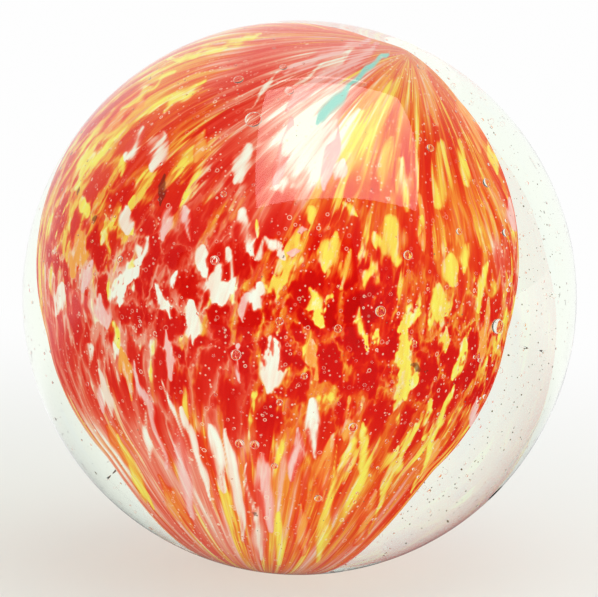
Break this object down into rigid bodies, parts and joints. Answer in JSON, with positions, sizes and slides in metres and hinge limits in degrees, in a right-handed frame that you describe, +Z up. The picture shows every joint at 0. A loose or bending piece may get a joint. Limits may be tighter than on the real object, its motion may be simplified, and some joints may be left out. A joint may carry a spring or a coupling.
{
  "type": "glass marble",
  "caption": "Ball of clear bubbly glass cased over an opaque core whose skin of mottled red, orange, pink, yellow, white and teal glass is drawn out to its poles.",
  "frame": {"origin": "centre of the clear ball", "axes": "+Z up as the ball lies, -Y towards the viewer, +X to the viewer's right; the ball itself is the same all round"},
  "size_m": [0.0444, 0.0444, 0.0446],
  "materials": {
    "clear_glass": "gloss",
    "white_core": "gloss",
    "red_skin": "gloss",
    "pink_flecks": "gloss",
    "orange_flecks": "gloss",
    "yellow_flecks": "gloss",
    "teal_streak": "gloss"
  },
  "bodies": {
    "root": {"clear_glass": "clear_glass", "white_core": "white_core", "red_skin": "red_skin", "pink_flecks": "pink_flecks", "orange_flecks": "orange_flecks", "yellow_flecks": "yellow_flecks", "teal_streak": "teal_streak"}
  },
  "joints": []
}
